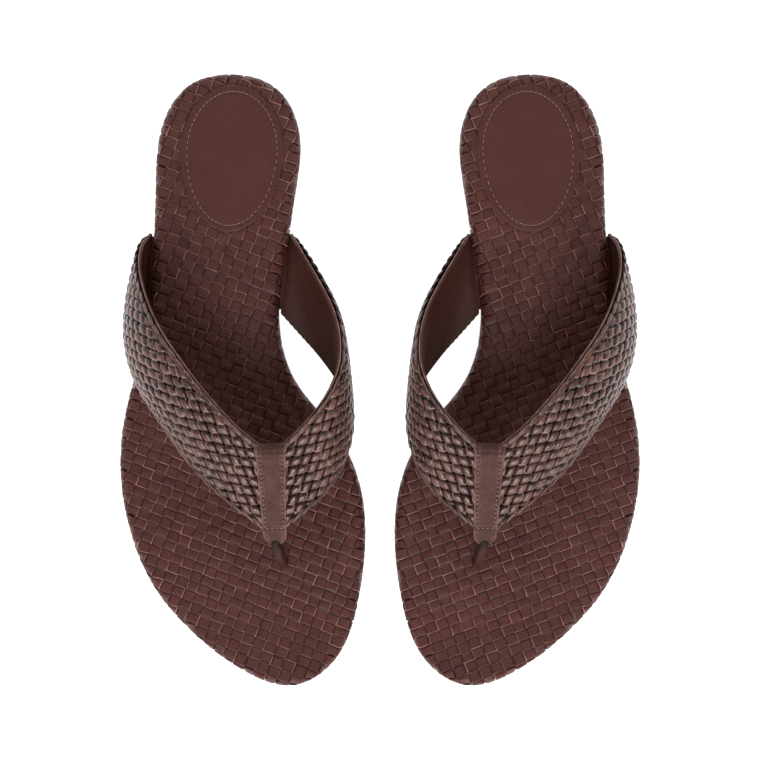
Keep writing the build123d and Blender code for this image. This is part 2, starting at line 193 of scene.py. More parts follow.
def blend(curve, station):
    """A point on the smooth curve through numbered stations (Catmull-Rom)."""
    k = min(int(station), len(curve) - 2)
    f = station - k
    before, start = np.array(curve[max(k - 1, 0)], float), np.array(curve[k], float)
    end, after = np.array(curve[k + 1], float), np.array(curve[min(k + 2, len(curve) - 1)], float)
    return (
        start * 2
        + (end - before) * f
        + (before * 2 - start * 5 + end * 4 - after) * f**2
        + (start * 3 - before - end * 3 + after) * f**3
    ) * 0.5


def smooth_path(points, count):
    """Points on the smooth open curve through the given ones."""
    return np.array([blend(points, s) for s in np.linspace(0, len(points) - 1, count)])


def squared_gaps(points, line):
    """The squared distances from points to every place on a line, block by block to save memory."""
    for low in range(0, len(points), GAP_BLOCK):
        yield ((points[low:low + GAP_BLOCK, None, :] - line[None, :, :]) ** 2).sum(-1)


def smoothstep(x):
    """A rise from 0 to 1 with soft ends."""
    x = np.clip(x, 0, 1)
    return x * x * (3 - 2 * x)


def unit(v):
    """Vectors at length 1."""
    return v / np.maximum(np.linalg.norm(v, axis=-1, keepdims=True), 1e-12)


# ---- Meshes ----

def make_mesh(name, side, verts, faces, look):
    """A mesh of the right sandal, or its mirror image. Each point's look is (edge, tone, shading): how pale
    its cut edge is, from wear and a painted highlight; its tone; and its painted shading, from painted shade
    in hollows up to a painted highlight on tops.
    """
    flip = SIDES[side]
    points = np.array(verts, float) * MM
    points[:, 0] *= flip
    if flip < 0:
        faces = [tuple(reversed(f)) for f in faces]
    mesh = bpy.data.meshes.new(f"{side}_{name}")
    mesh.from_pydata(points.tolist(), [], faces)
    colours = np.ones((len(points), 4))
    colours[:, :3] = look
    attribute = mesh.color_attributes.new("look", "FLOAT_COLOR", "POINT")
    attribute.data.foreach_set("color", colours.ravel())
    mesh.polygons.foreach_set("use_smooth", [True] * len(mesh.polygons))
    mesh.update()
    obj = bpy.data.objects.new(f"{side}_{name}", mesh)
    bpy.context.scene.collection.objects.link(obj)
    return obj


def tube_faces(rings, around, first=0):
    """Faces of a tube of numbered rings, capped at both ends."""
    faces = []
    last = first + (rings - 1) * around
    for low in range(first, last, around):
        high = low + around
        for k in range(around):
            nxt = (k + 1) % around
            faces.append((low + k, low + nxt, high + nxt, high + k))
    faces.append(tuple(first + k for k in reversed(range(around))))
    faces.append(tuple(last + k for k in range(around)))
    return faces


def both_sides(*pieces):
    """Pieces on each sandal's body: each is (name, shape, material, slot, which is not used, any CAD nodes it
    stands for).
    """
    for side in SIDES:
        for name, shape, material, slot_name, *nodes in pieces:
            obj = make_mesh(name, side, *shape)
            obj.data.materials.append(material)
            if nodes:
                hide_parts(*[f"{side}_{n}" for n in nodes])
            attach(obj, f"{side}_sandal")


def ring_turns(around):
    """The cosine and sine at each corner of a ring."""
    angles = [2 * math.pi * k / around for k in range(around)]
    return [(math.cos(a), math.sin(a)) for a in angles]


# ---- Weaving ----

# The section of a flat strip: places across it from -0.5 to 0.5 of its width, and heights as shares of
# its thickness. The last number says how much of the cut edge each point shows.
FLAT_SECTION = [(-0.5, -0.15, 0.3), (-0.49, 0.32, 1), (-0.45, 0.5, 1), (-0.41, 0.5, 0), (0.41, 0.5, 0),
                (0.45, 0.5, 1), (0.49, 0.32, 1), (0.5, -0.15, 0.3), (0.4, -0.5, 0), (-0.4, -0.5, 0)]
PUFFED_SECTION = [(-0.5, -0.2, 0), (-0.46, 0.16, 0.5), (-0.38, 0.38, 0.8), (-0.24, 0.5, 0), (0, 0.58, 0),
                  (0.24, 0.5, 0), (0.38, 0.38, 0.8), (0.46, 0.16, 0.5), (0.5, -0.2, 0), (0.34, -0.5, 0),
                  (-0.34, -0.5, 0)]
# Where a strip is sampled along each crossing, and how much of its rise it has there.
FLAT_SAMPLES = [(-0.46, 0.1), (-0.36, 0.72), (-0.2, 1.0), (0.2, 1.0), (0.36, 0.72), (0.46, 0.1)]
PUFFED_SAMPLES = [(-0.46, -0.35), (-0.36, 0.45), (-0.16, 1.0), (0.16, 1.0), (0.36, 0.45), (0.46, -0.35)]
# Random differences: a strip's tone and its place, then each crossing's tone, rise, and the paleness of its
# two cut edges, from wear and a painted highlight that is stronger on the second edge
STRIP_TONES, STRIP_SWAY = (-0.15, 0.15), (-0.03, 0.03)
CROSSING_TONES, CROSSING_RISE = (-0.22, 0.22), (0.92, 1.08)
FIRST_EDGE_WEAR_AND_HIGHLIGHT, SECOND_EDGE_WEAR_AND_HIGHLIGHT = (-0.6, 0.7), (0.1, 1.2)
FEWEST_RINGS = 3  # a shorter run is left out


def lay_strips(family, reach, weave, inside):
    """One family of strips of a plain weave, in the flat, as runs: (flat points, heights, looks) of rings.

    reach is how far they are laid from the middle. weave holds, for both families, the pitch and width, and
    the strip's thickness, lift, section and samples. inside says which flat points belong to the piece."""
    pitch, other = weave["pitch"][family], weave["pitch"][1 - family]
    width, section = weave["width"][family], weave["section"]
    across, rise, edge = np.array(section).T * np.array([[width], [weave["thick"]], [1.0]])
    runs = []
    count, cells = int(reach / pitch), int(reach / other)
    for k in range(-count, count + 1):
        rings = []
        strip_tone = dice.uniform(*STRIP_TONES)
        sway = dice.uniform(*STRIP_SWAY) * pitch
        for m in range(-cells, cells + 1):
            over = (k + m + family) % 2 == 0
            tone = 0.5 + strip_tone + dice.uniform(*CROSSING_TONES)
            high = dice.uniform(*CROSSING_RISE)
            edge_wear_and_highlight = (dice.uniform(*FIRST_EDGE_WEAR_AND_HIGHLIGHT), dice.uniform(*SECOND_EDGE_WEAR_AND_HIGHLIGHT))
            for place, share in weave["samples"]:
                ride = share * high if over else -max(share, weave["dip"])
                rings.append(((m + place) * other, ride, tone, *edge_wear_and_highlight))
        rings = np.array(rings)
        along, ride, tones = rings[:, 0], rings[:, 1], rings[:, 2:]
        centre = np.full_like(along, k * pitch + sway)
        flat = np.stack([centre, along] if family == 0 else [along, centre], -1)
        for start, stop in kept_runs(inside(flat)):
            runs.append(ring_block(flat[start:stop], ride[start:stop], tones[start:stop],
                                   family, across, rise, edge, weave))
    return runs


def kept_runs(keep):
    """Where each run of kept rings starts and stops, without the shortest runs."""
    changes = np.flatnonzero(np.diff(np.concatenate([[0], keep.astype(int), [0]])))
    return [(a, b) for a, b in changes.reshape(-1, 2) if b - a >= FEWEST_RINGS]


def ring_block(flat, ride, tones, family, across, rise, edge, weave):
    """The points, heights and looks of one run of rings."""
    shift = np.stack([across, np.zeros_like(across)] if family == 0 else [np.zeros_like(across), -across], -1)
    spread = 1 + weave["spread"] * (ride - 0.5)
    points = flat[:, None, :] + shift[None, :, :] * spread[:, None, None]
    heights = ride[:, None] * weave["lift"] + rise[None, :]
    # Painted shading: low parts of a strip, and strips where they sink under others, are painted darker as
    # shade; the tops get a painted highlight.
    painted_shading = 0.5 + heights / (2 * weave["lift"] + weave["thick"]) - weave["shade"] * (1 - ride[:, None])
    # Each cut edge is painted pale, from wear and a painted highlight that is stronger on the second edge.
    edge_wear_and_highlight = np.where(across[None, :] < 0, tones[:, 1:2], tones[:, 2:3])
    look = np.stack([edge[None, :] * np.clip(edge_wear_and_highlight, 0, 1),
                     np.broadcast_to(tones[:, :1], heights.shape),
                     painted_shading], -1)
    return points, heights, look


def strips_mesh(runs, place):
    """One list of vertices, faces and looks from runs of rings, each point put in place by place()."""
    around = runs[0][0].shape[1]
    flat = np.concatenate([r[0].reshape(-1, 2) for r in runs])
    heights = np.concatenate([r[1].ravel() for r in runs])
    looks = np.concatenate([r[2].reshape(-1, 3) for r in runs])
    faces, first = [], 0
    for points, _, _ in runs:
        faces += tube_faces(len(points), around, first)
        first += len(points) * around
    return place(flat, heights), faces, looks


# ---- Sole ----

def underside(y):
    """Height of the outsole's underside at y."""
    toe = TOE_SPRING * (np.minimum(y - SPRING_Y, 0) / SPRING_RUN) ** 2
    return toe + HEEL_LIFT * smoothstep((y - RISE_Y) / (BREAST_Y - RISE_Y))


class Outline:
    """The sole's outline as a fine polygon, with distances from it."""

    def __init__(self):
        self.points = periodic_curve(SOLE_OUTLINE, OUTLINE_POINTS)
        ahead = np.roll(self.points, -1, 0) - np.roll(self.points, 1, 0)
        area = np.sum(self.points[:, 0] * np.roll(self.points[:, 1], -1)
                      - self.points[:, 1] * np.roll(self.points[:, 0], -1))
        turn = 1 if area > 0 else -1
        self.normals = unit(np.stack([ahead[:, 1], -ahead[:, 0]], -1)) * turn

    def nearest(self, flat):
        """For flat points: distance outside the outline, the nearest place on it, and the normal there."""
        found = np.concatenate([gap.argmin(1) for gap in squared_gaps(flat, self.points)])
        normal = self.normals[found]
        along = np.stack([-normal[:, 1], normal[:, 0]], -1)
        offset = flat - self.points[found]
        base = self.points[found] + along * (offset * along).sum(-1)[:, None]
        return (offset * normal).sum(-1), base, normal


outline = Outline()
weave_angle = math.radians(WEAVE_TURN)
WEAVE_X = np.array((math.cos(weave_angle), -math.sin(weave_angle)))
WEAVE_Y = np.array((math.sin(weave_angle), math.cos(weave_angle)))
MIDDLE_DEPTH = COVER_THICK / 2  # the middle of the weave is this far inside the cover's outer face
EDGE_INSET = MIDDLE_DEPTH + RIM_RADIUS
WRAP = RIM_RADIUS * math.pi / 2
WALL = COVER_HEIGHT - MIDDLE_DEPTH - RIM_RADIUS
SOLE_MIDDLE = np.array((-60.0, 0.0))


def weave_to_sole(flat):
    """From the weave's own axes to the sole's."""
    return SOLE_MIDDLE + flat[:, :1] * WEAVE_X + flat[:, 1:] * WEAVE_Y


def on_sole(flat, heights):
    """Places the weave's flat points on the footbed: over its top, round the rim and down the side."""
    plan = weave_to_sole(flat)
    distance, base, normal = outline.nearest(plan)
    beyond = distance + EDGE_INSET
    angle = np.clip(beyond / RIM_RADIUS, 0, math.pi / 2)
    wall = np.maximum(beyond - WRAP, 0)
    wall = np.where(wall > WALL, WALL + WALL_GATHER * (wall - WALL), wall)
    radius = RIM_RADIUS + heights * (1 + RIM_PUFF * smoothstep(beyond / PUFF_RUN))
    rim = base - normal * EDGE_INSET + normal * (radius * np.sin(angle))[:, None]
    xy = np.where((beyond > 0)[:, None], rim, plan)
    top = underside(xy[:, 1]) + SOLE_STACK - MIDDLE_DEPTH
    drop = RIM_RADIUS - radius * np.cos(angle) + wall
    z = np.where(beyond > 0, top - drop, top + heights)
    return np.column_stack([xy, z])


def inside_sole(flat):
    """Which of the weave's flat points lie on the footbed or its side."""
    return outline.nearest(weave_to_sole(flat))[0] + EDGE_INSET < WRAP + WALL + WALL_SPARE


FOOTBED_WEAVE = {"pitch": (LONG_PITCH, CROSS_PITCH), "width": (LONG_WIDTH, CROSS_WIDTH),
                 "thick": FOOTBED_STRIP, "lift": FOOTBED_LIFT, "spread": 0.03, "dip": 0.1, "shade": 0.0,
                 "section": FLAT_SECTION, "samples": FLAT_SAMPLES}


def footbed(material):
    """The woven cover: strips along the foot and strips across it."""
    for family, name in enumerate(("long", "cross")):
        shape = strips_mesh(lay_strips(family, FOOTBED_REACH, FOOTBED_WEAVE, inside_sole), on_sole)
        both_sides((f"footbed_{name}_strips", shape, material, "footbed_weave", "footbed_cover"))


# ---- Strap ----

class Wing:
    """One wing of the strap: a curved grid, the same grid laid flat, and the way from one to the other."""

    def __init__(self, curves, outward):
        self.steps, self.across = WING_STEPS + 1, WING_ACROSS + 1
        inner = self.grid(curves)
        along, across = np.gradient(inner, axis=0), np.gradient(inner, axis=1)
        self.normals = unit(np.cross(along, across)) * outward
        self.middle = inner + self.normals * (LINING + STRAP_WEAVE / 2)
        self.flat = self.turned(self.evened(self.unrolled()))
        self.faces = []
        for i in range(self.steps - 1):
            for j in range(self.across - 1):
                a, b = i * self.across + j, (i + 1) * self.across + j
                self.faces += [(a, b, b + 1), (a, b + 1, a + 1)]
        self.corners = [Vector((x, y, 0)) for x, y in self.flat.reshape(-1, 2)]
        self.solid = [Vector(p) for p in self.middle.reshape(-1, 3)]
        self.upright = [Vector(n) for n in self.normals.reshape(-1, 3)]
        self.tree = BVHTree.FromPolygons(self.corners, self.faces)

    def grid(self, curves):
        """The wing's inner face, as points along it and across it."""
        points = np.zeros((self.steps, self.across, 3))
        for i in range(self.steps):
            station = i / (self.steps - 1) * (len(curves[0]) - 1)
            front, middle, rear = (blend(c, station) for c in curves)
            for j in range(self.across):
                t = j / (self.across - 1)
                points[i, j] = front * (1 - t) * (1 - 2 * t) + middle * 4 * t * (1 - t)
                points[i, j] += rear * t * (2 * t - 1)
        return points

    def unrolled(self):
        """The middle surface laid flat: each rib beside the last, with the zigzag taken out of it."""
        p = self.middle
        flat = np.zeros(p.shape[:2] + (2,))
        gaps = np.linalg.norm(np.diff(p[0], axis=0), axis=1)
        flat[0, 1:, 1] = np.cumsum(gaps)
        for i in range(1, self.steps):
            for j in range(self.across):
                other = j + 1 if j < self.across - 1 else j - 1
                a, b = flat[i - 1, j], flat[i - 1, other]
                ra, rb = np.linalg.norm(p[i, j] - p[i - 1, j]), np.linalg.norm(p[i, j] - p[i - 1, other])
                d = np.linalg.norm(b - a)
                x = (ra * ra - rb * rb + d * d) / (2 * d)
                y = math.sqrt(max(ra * ra - x * x, 0))
                axis = (b - a) / d
                side = np.array((axis[1], -axis[0])) * (1 if other > j else -1)
                flat[i, j] = a + axis * x + side * y
            flat[i, 1:-1] = (flat[i, :-2] + flat[i, 1:-1] * 2 + flat[i, 2:]) / 4
        return flat

    def evened(self, flat):
        """The flat pattern with the lengths between its neighbours brought closer to the real ones."""
        number = np.arange(self.steps * self.across).reshape(self.steps, self.across)
        solid, q = self.middle.reshape(-1, 3), flat.reshape(-1, 2)
        pairs = []
        for a, b in ((number[:-1], number[1:]), (number[:, :-1], number[:, 1:]),
                     (number[:-1, :-1], number[1:, 1:]), (number[:-1, 1:], number[1:, :-1])):
            a, b = a.ravel(), b.ravel()
            pairs.append((a, b, np.linalg.norm(solid[a] - solid[b], axis=1, keepdims=True)))
        for _ in range(EVEN_ROUNDS):
            for a, b, length in pairs:
                gap = q[b] - q[a]
                now = np.maximum(np.linalg.norm(gap, axis=1, keepdims=True), 1e-9)
                move = gap * (1 - length / now) * EVEN_SHARE
                np.add.at(q, a, move)
                np.add.at(q, b, -move)
        return q.reshape(flat.shape)

    def turned(self, flat):
        """The flat pattern turned so that the rows leave the tab with their slope."""
        cos, sin = math.cos(math.radians(ROW_TURN)), math.sin(math.radians(ROW_TURN))
        u, v = flat[..., 0], flat[..., 1]
        return np.stack([u * cos + v * sin, -u * sin + v * cos], -1)

    def lean(self, weave):
        """From the weave's own axes, whose columns lean, to the wing's flat pattern."""
        angle = math.radians(COLUMN_LEAN)
        x = weave[:, 0] + weave[:, 1] * math.sin(angle)
        return np.stack([x, weave[:, 1] * math.cos(angle) - ROW_BEND * x**2], -1)

    def edge_distance(self, flat, column):
        """How far flat points are from the front edge (column 0) or the rear edge (column -1)."""
        line = resample(self.flat[:, column], EDGE_SAMPLES)[0]
        return np.sqrt(np.concatenate([gap.min(1) for gap in squared_gaps(flat, line)]))

    def inside(self, weave):
        """Which of the weave's points lie on the wing, clear of its free edges."""
        flat = self.lean(weave)
        keep = (self.edge_distance(flat, 0) > FRONT_TRIM) & (self.edge_distance(flat, -1) > REAR_TRIM)
        for n in np.flatnonzero(keep):
            gap = self.tree.find_nearest(Vector((flat[n, 0], flat[n, 1], 0)))[3]
            keep[n] = gap is not None and gap < PATTERN_EDGE
        return keep

    def place(self, weave, heights):
        """The weave's points, each at a height off its middle, on the curved wing."""
        flat = self.lean(weave)
        drop = EDGE_DROP * (1 - smoothstep((self.edge_distance(flat, 0) - FRONT_TRIM) / DROP_RUN))
        drop += EDGE_DROP * (1 - smoothstep((self.edge_distance(flat, -1) - REAR_TRIM) / DROP_RUN))
        out = np.zeros((len(flat), 3))
        for n, (x, y) in enumerate(flat):
            spot, _, face, _ = self.tree.find_nearest(Vector((x, y, 0)))
            triangle = [self.corners[k] for k in self.faces[face]]
            solid, normal = (barycentric_transform(spot, *triangle, *[values[k] for k in self.faces[face]])
                             for values in (self.solid, self.upright))
            out[n] = solid + normal.normalized() * (heights[n] - drop[n])
        return out

    def edge_line(self, column, inward):
        """One free edge of the weave's middle, with its normals and outward directions."""
        away = unit(self.middle[:, column] - self.middle[:, inward])
        return self.middle[:, column], self.normals[:, column], away


STRAP_WEAVE_RULE = {"pitch": (COLUMN_PITCH, ROW_PITCH), "width": (COLUMN_WIDTH, ROW_WIDTH),
                    "thick": STRAP_STRIP, "lift": STRAP_LIFT, "spread": 0.12, "dip": 0.55, "shade": 0.12,
                    "section": PUFFED_SECTION, "samples": PUFFED_SAMPLES}


def resample(points, count):
    """Evenly spaced points along a line, and its length."""
    length = np.concatenate([[0], np.cumsum(np.linalg.norm(np.diff(points, axis=0), axis=1))])
    where = np.linspace(0, length[-1], count)
    return np.column_stack([np.interp(where, length, values) for values in points.T]), length[-1]


def edge_samples(line, normals, away, count):
    """An edge's line, normals and outward directions at evenly spaced places, and its length."""
    path, length = resample(line, count)
    return path, unit(resample(normals, count)[0]), unit(resample(away, count)[0]), length


def twisted_edge(line, normals, away):
    """A two-ply rope of turned strip ends along an edge."""
    path, up, out, length = edge_samples(line, normals, away, ROPE_RINGS)
    verts, looks = [], []
    for k in range(ROPE_RINGS):
        phase = math.pi * k / (ROPE_RINGS - 1) * length / ROPE_TURN
        for a in range(ROPE_AROUND):
            angle = 2 * math.pi * a / ROPE_AROUND
            wave = math.cos(2 * (angle - phase))
            spoke = out[k] * math.cos(angle) + up[k] * math.sin(angle)
            verts.append(path[k] + spoke * ROPE_RADIUS * (1 + ROPE_LOBE * wave))
            # Painted shade between the rope's lobes, lighter on their crowns.
            looks.append((0.5, 0.5, 0.7 + 0.3 * wave))
    return np.array(verts), tube_faces(ROPE_RINGS, ROPE_AROUND), np.array(looks)


def edge_pads(line, normals, away, half_width):
    """Strips turned back along an edge: long pads, each one's end tucked under the next."""
    path, up, out, length = edge_samples(line, normals, away, EDGE_SAMPLES)
    pads = int(length / TURNED_STEP)
    verts, faces, looks = [], [], []
    for n in range(pads):
        middle = (n + 0.5) / pads
        tone = dice.uniform(*TURNED_TONES)
        first = len(verts)
        for along, size in TURNED_SIZES:
            k = int(round(min(max(middle + along * TURNED_REACH / length, 0), 1) * (EDGE_SAMPLES - 1)))
            base = path[k] - out[k] * along * TURNED_SLANT + up[k] * (TURNED_RISE - TURNED_SLOPE * along)
            for c, s in ring_turns(TURNED_AROUND):
                verts.append(base + out[k] * c * half_width * size + up[k] * s * TURNED_HALF_THICK * size)
                # Painted shade on each pad's underside and its thin ends; its upper sides show pale edges.
                looks.append((0.5 if abs(c) > 0.8 and s > 0 else 0, tone, 0.35 + 0.65 * max(s, 0) * size))
        faces += tube_faces(len(TURNED_SIZES), TURNED_AROUND, first)
    return np.array(verts), faces, np.array(looks)


def lip(line, normals, away):
    """A thin flat edge of leather along a line, with a pale nose and painted shade on its inner side."""
    half, rise = LIP_WIDTH / 2, LIP_THICK / 2
    section = [(-half, -rise), (half, -rise), (1.2 * half, 0), (half, rise), (-half, rise)]
    rings = [line + away * side + normals * up for side, up in section]
    # The inner side is painted darker, as painted shade.
    looks = [(1, 0.5, 1) if side > 0 else (0, 0.5, 0.8) for side, _ in section]
    verts = np.stack(rings, 1).reshape(-1, 3)
    return verts, tube_faces(len(line), len(section)), np.tile(looks, (len(line), 1))


def straps(weave_material, edge_material):
    """Both wings: woven strips, turned pads along both edges, a rope at the front and a lip at the rear."""
    for name, curves, outward in (("outer_strap", OUTER_WING, -1), ("inner_strap", INNER_WING, 1)):
        wing = Wing(curves, outward)
        for family, kind in enumerate(("columns", "rows")):
            shape = strips_mesh(lay_strips(family, STRAP_REACH, STRAP_WEAVE_RULE, wing.inside), wing.place)
            both_sides((f"{name}_{kind}", shape, weave_material, "strap_weave", f"{name}_weave"))
        line, normals, away = wing.edge_line(0, 1)
        shape = edge_pads(line - away * FRONT_TURNED_IN, normals, away, FRONT_TURNED_HALF)
        both_sides((f"{name}_front_pads", shape, weave_material, "strap_weave"))
        shape = twisted_edge(line - normals * ROPE_DOWN - away * UNDER_IN, normals, away)
        both_sides((f"{name}_front_edge", shape, edge_material, "strap_weave"))
        line, normals, away = wing.edge_line(-1, -2)
        shape = edge_pads(line - away * REAR_TURNED_IN, normals, away, REAR_TURNED_HALF)
        both_sides((f"{name}_rear_pads", shape, weave_material, "strap_weave"))
        shape = lip(line - normals * LIP_DOWN - away * UNDER_IN, normals, away)
        both_sides((f"{name}_rear_lip", shape, edge_material, "lining"))


# ---- Toe tab and post ----

def tab_axes():
    """The tab's own directions: across it, up along it, and out of its face."""
    along = unit(TAB_TOP - TAB_TIP)
    across = unit(np.array((1.0, 0, 0)) - along * along[0])
    return across, along, np.cross(across, along)


TAB_ACROSS, TAB_ALONG, TAB_OUT = tab_axes()
TAB_LENGTH = float(np.linalg.norm(TAB_TOP - TAB_TIP))
# Half of the tab's section, from its edge inwards: a raised panel inside a sewn groove, then the underside.
# Each place is (share of half width, height, wear).
TAB_HALF_FACE = [(1, 0.0, 0.9), (0.97, 0.36, 0.9), (0.9, 0.5, 0.4), (0.82, 0.42, 0.4), (0.76, 0.12, 0.1),
                 (0.7, 0.1, 0.1), (0.62, 0.5, 0.4), (0.54, 0.72, 0.1), (0.3, 0.78, 0.1)]
TAB_HALF_UNDER = [(0.94, -0.42, 0.4), (0.5, -0.5, 0.1)]
TAB_SECTION = ([(-s, h, w) for s, h, w in TAB_HALF_FACE] + [(0, 0.74, 0.1)] + TAB_HALF_FACE[::-1]
               + TAB_HALF_UNDER + [(0, -0.5, 0.1)] + [(-s, h, w) for s, h, w in TAB_HALF_UNDER[::-1]])


def tab_half_width(down):
    """Half the tab's width at a distance down from its upper edge."""
    half = (TAB_WIDTH + (TAB_LOW_WIDTH - TAB_WIDTH) * min(max(down, 0) / TAB_LOW, 1)) / 2
    left = TAB_LENGTH - down
    if left < TIP_ROUND:
        half *= math.sqrt(max(1 - ((TIP_ROUND - left) / TIP_ROUND) ** 2, 0.02))
    return half


def tab_stations():
    """The tab's path up its back, over the fold and down its face: (down, out, way the surface faces)."""
    stations = [(down, -TAB_BACK, (0, -1)) for down in np.linspace(TAB_BACK_LENGTH, FOLD_START, 12)]
    middle, radius = (TAB_FACE - TAB_BACK) / 2, (TAB_FACE + TAB_BACK) / 2
    for turn in np.linspace(-FOLD_TURN, FOLD_TURN, 9):
        a = math.radians(turn)
        up = FOLD_BULGE * math.cos(a) - FOLD_SINK
        stations.append((-up, middle + radius * math.sin(a), (math.cos(a), math.sin(a))))
    for down in np.linspace(FOLD_START, TAB_LENGTH - TIP_GAP, 70):
        sag = TIP_SAG * max(down - TAB_LOW, 0) ** 2
        stations.append((down, TAB_FACE - sag, (0, 1)))
    return stations


def tab_relief(down):
    """How much of the raised panel, and of the creases above and below it, the tab's face has at a place."""
    panel = smoothstep((down - FOLD_END - PANEL_START) / PANEL_START_RUN)
    panel *= 1 - smoothstep((down - TAB_LOW + PANEL_STOP) / PANEL_STOP_RUN)
    return panel, sum(max(1 - abs(down - place) / CREASE_RUN, 0) for place in (FOLD_END, TAB_LOW))


def tab_leather():
    """The folded strip with its raised panel."""
    verts, looks = [], []
    stations = tab_stations()
    for down, out, (n_along, n_out) in stations:
        half = tab_half_width(down) + (FOLD_EXTRA if down < FOLD_END else 0)
        face = n_out > 0.9  # not on the fold or the back
        panel, crease = tab_relief(down) if face else (0, 0)
        centre = TAB_TOP - TAB_ALONG * down + TAB_OUT * out
        normal = TAB_ALONG * n_along + TAB_OUT * n_out
        for share, height, wear in TAB_SECTION:
            raised = abs(share) < PANEL_HALF
            h = height
            if height > 0:
                flat = TAB_FLAT if abs(share) < 0.9 else height
                h = flat + (height - flat) * panel - CREASE_DEPTH * crease
            if face and FOLD_END < down < FOLD_END + PANEL_START:
                wear = 0.5
            verts.append(centre + TAB_ACROSS * share * half + normal * h)
            # Painted shade: creases, grooves and the underside are painted darker; the highest places get a
            # slight painted highlight.
            looks.append((wear, 0.5 + 0.5 * panel * raised, 0.68 + 0.32 * min(max(h / 0.5, 0), 1)))
    return verts, tube_faces(len(stations), len(TAB_SECTION)), looks


def tab_stitches():
    """Two long rows of stitches in the grooves, and a short row across."""
    marks = []
    for k in range(ROW_STITCHES):
        down = ROW_START + (TAB_LOW - ROW_SHORT) * k / (ROW_STITCHES - 1)
        for side in (-1, 1):
            marks.append((side * tab_half_width(down) * ROW_PLACE, down, 90 + side * ROW_HEADING))
    marks += [(x, TAB_LOW, 0) for x in SHORT_ROW]
    stitches = []
    for x, down, heading in marks:
        a = math.radians(heading)
        centre = TAB_TOP + TAB_ACROSS * x - TAB_ALONG * down + TAB_OUT * (TAB_FACE + 0.2)
        stitches.append((centre, TAB_ACROSS * math.cos(a) + TAB_ALONG * math.sin(a), TAB_OUT))
    return stitch_mesh(stitches, *TAB_STITCH)


def post_leather():
    """The folded strip from the tab into the footbed, its two edges meeting in a groove."""
    path = smooth_path(POST_PATH, POST_RINGS)
    verts, looks = [], []
    for k, (p, d) in enumerate(zip(path, unit(np.gradient(path, axis=0)))):
        across = unit(np.array((1.0, 0, 0)) - d * d[0])
        front = np.cross(d, across)
        twist = math.radians(POST_TURN * smoothstep(k / POST_RINGS) + POST_START_TURN)
        side = across * math.cos(twist) + front * math.sin(twist)
        front = front * math.cos(twist) - across * math.sin(twist)
        swell = 1 + POST_SWELL * math.sin(math.pi * min(k / SWELL_RINGS, 1)) ** 2
        # Painted shade: the rings nearest the tab, and the groove, are painted darker. The pale bands beside
        # the groove are wear and a painted highlight.
        shaded = 0.62 + 0.38 * smoothstep((k - 3) / 5)
        for c, s in ring_turns(POST_AROUND):
            x = math.copysign(abs(c) ** POST_SQUARENESS[0], c) * POST_WIDTH / 2 * swell
            y = math.copysign(abs(s) ** POST_SQUARENESS[1], s) * POST_THICK / 2
            groove = GROOVE_DEPTH * math.exp(-((x - GROOVE_PLACE) / GROOVE_WIDTH) ** 2) if s < 0 else 0
            verts.append(p + side * x + front * (y + groove))
            edge_wear_and_highlight = 0.8 if 0.25 < abs(c) < 0.6 and s < 0 else 0.0
            looks.append((edge_wear_and_highlight, 0.1, min(shaded, 1 - 0.45 * groove)))
    return verts, tube_faces(POST_RINGS, POST_AROUND), looks


# ---- Heel pad and stitches ----

def oval_point(inset, turn):
    """A point on the heel pad's outline, made smaller by inset, at a turn from 0 to 1."""
    angle = 2 * math.pi * turn
    half_length = PAD_TOP if math.sin(angle) > 0 else PAD_LENGTH - PAD_TOP
    x = (PAD_WIDTH / 2 - inset) * math.cos(angle)
    y = (half_length - inset) * math.sin(angle)
    tilt = math.radians(PAD_TILT)
    return np.array((PAD_CENTRE[0] + x * math.cos(tilt) + y * math.sin(tilt),
                     PAD_CENTRE[1] - x * math.sin(tilt) + y * math.cos(tilt)))


PAD_BASE = HEEL_LIFT + SOLE_STACK
# The pad's surface from its edge inwards: (inset, height), with a groove under the stitches.
PAD_PROFILE = [(0.3, -0.4), (0, 0.1), (0.06, 0.5), (0.4, 0.78), (1.1, 0.86), (2.0, 0.84), (2.4, 0.72),
               (2.6, 0.66), (2.8, 0.72), (3.3, 0.9), (4.6, 1.0), (8, 1.04), (12, 1.05), (16, 1.05),
               (20.5, 1.05)]


def heel_pad():
    """The smooth oval with its sewn groove."""
    verts, looks = [], []
    for inset, height in PAD_PROFILE:
        for k in range(PAD_AROUND):
            verts.append((*oval_point(inset, k / PAD_AROUND), PAD_BASE + height))
            # The pad's sloping rim and its sewn groove are painted darker, as painted shade; its outermost
            # ring is a pale edge.
            looks.append((1.0 if inset < 0.1 else 0.0, 0.5, 0.7 + 0.3 * min(max(height, 0), 1)))
    return verts, [tuple(reversed(f)) for f in tube_faces(len(PAD_PROFILE), PAD_AROUND)], looks


def heel_stitches():
    """The ring of stitches in the groove."""
    stitches = []
    for k in range(PAD_STITCHES):
        here, ahead = (oval_point(STITCH_INSET, n / PAD_STITCHES) for n in (k, k + 0.05))
        centre = np.array((*here, PAD_BASE + STITCH_HEIGHT))
        stitches.append((centre, np.array((*unit(ahead - here), 0)), np.array((0, 0, 1.0))))
    return stitch_mesh(stitches, *PAD_STITCH)


# A stitch along its length: (place, height, share of its full width)
STITCH_SHAPE = [(-0.5, -0.25, 0.5), (-0.4, 0.02, 0.85), (-0.15, 0.14, 1), (0.15, 0.14, 1), (0.4, 0.02, 0.85),
                (0.5, -0.25, 0.5)]
STITCH_AROUND = 6


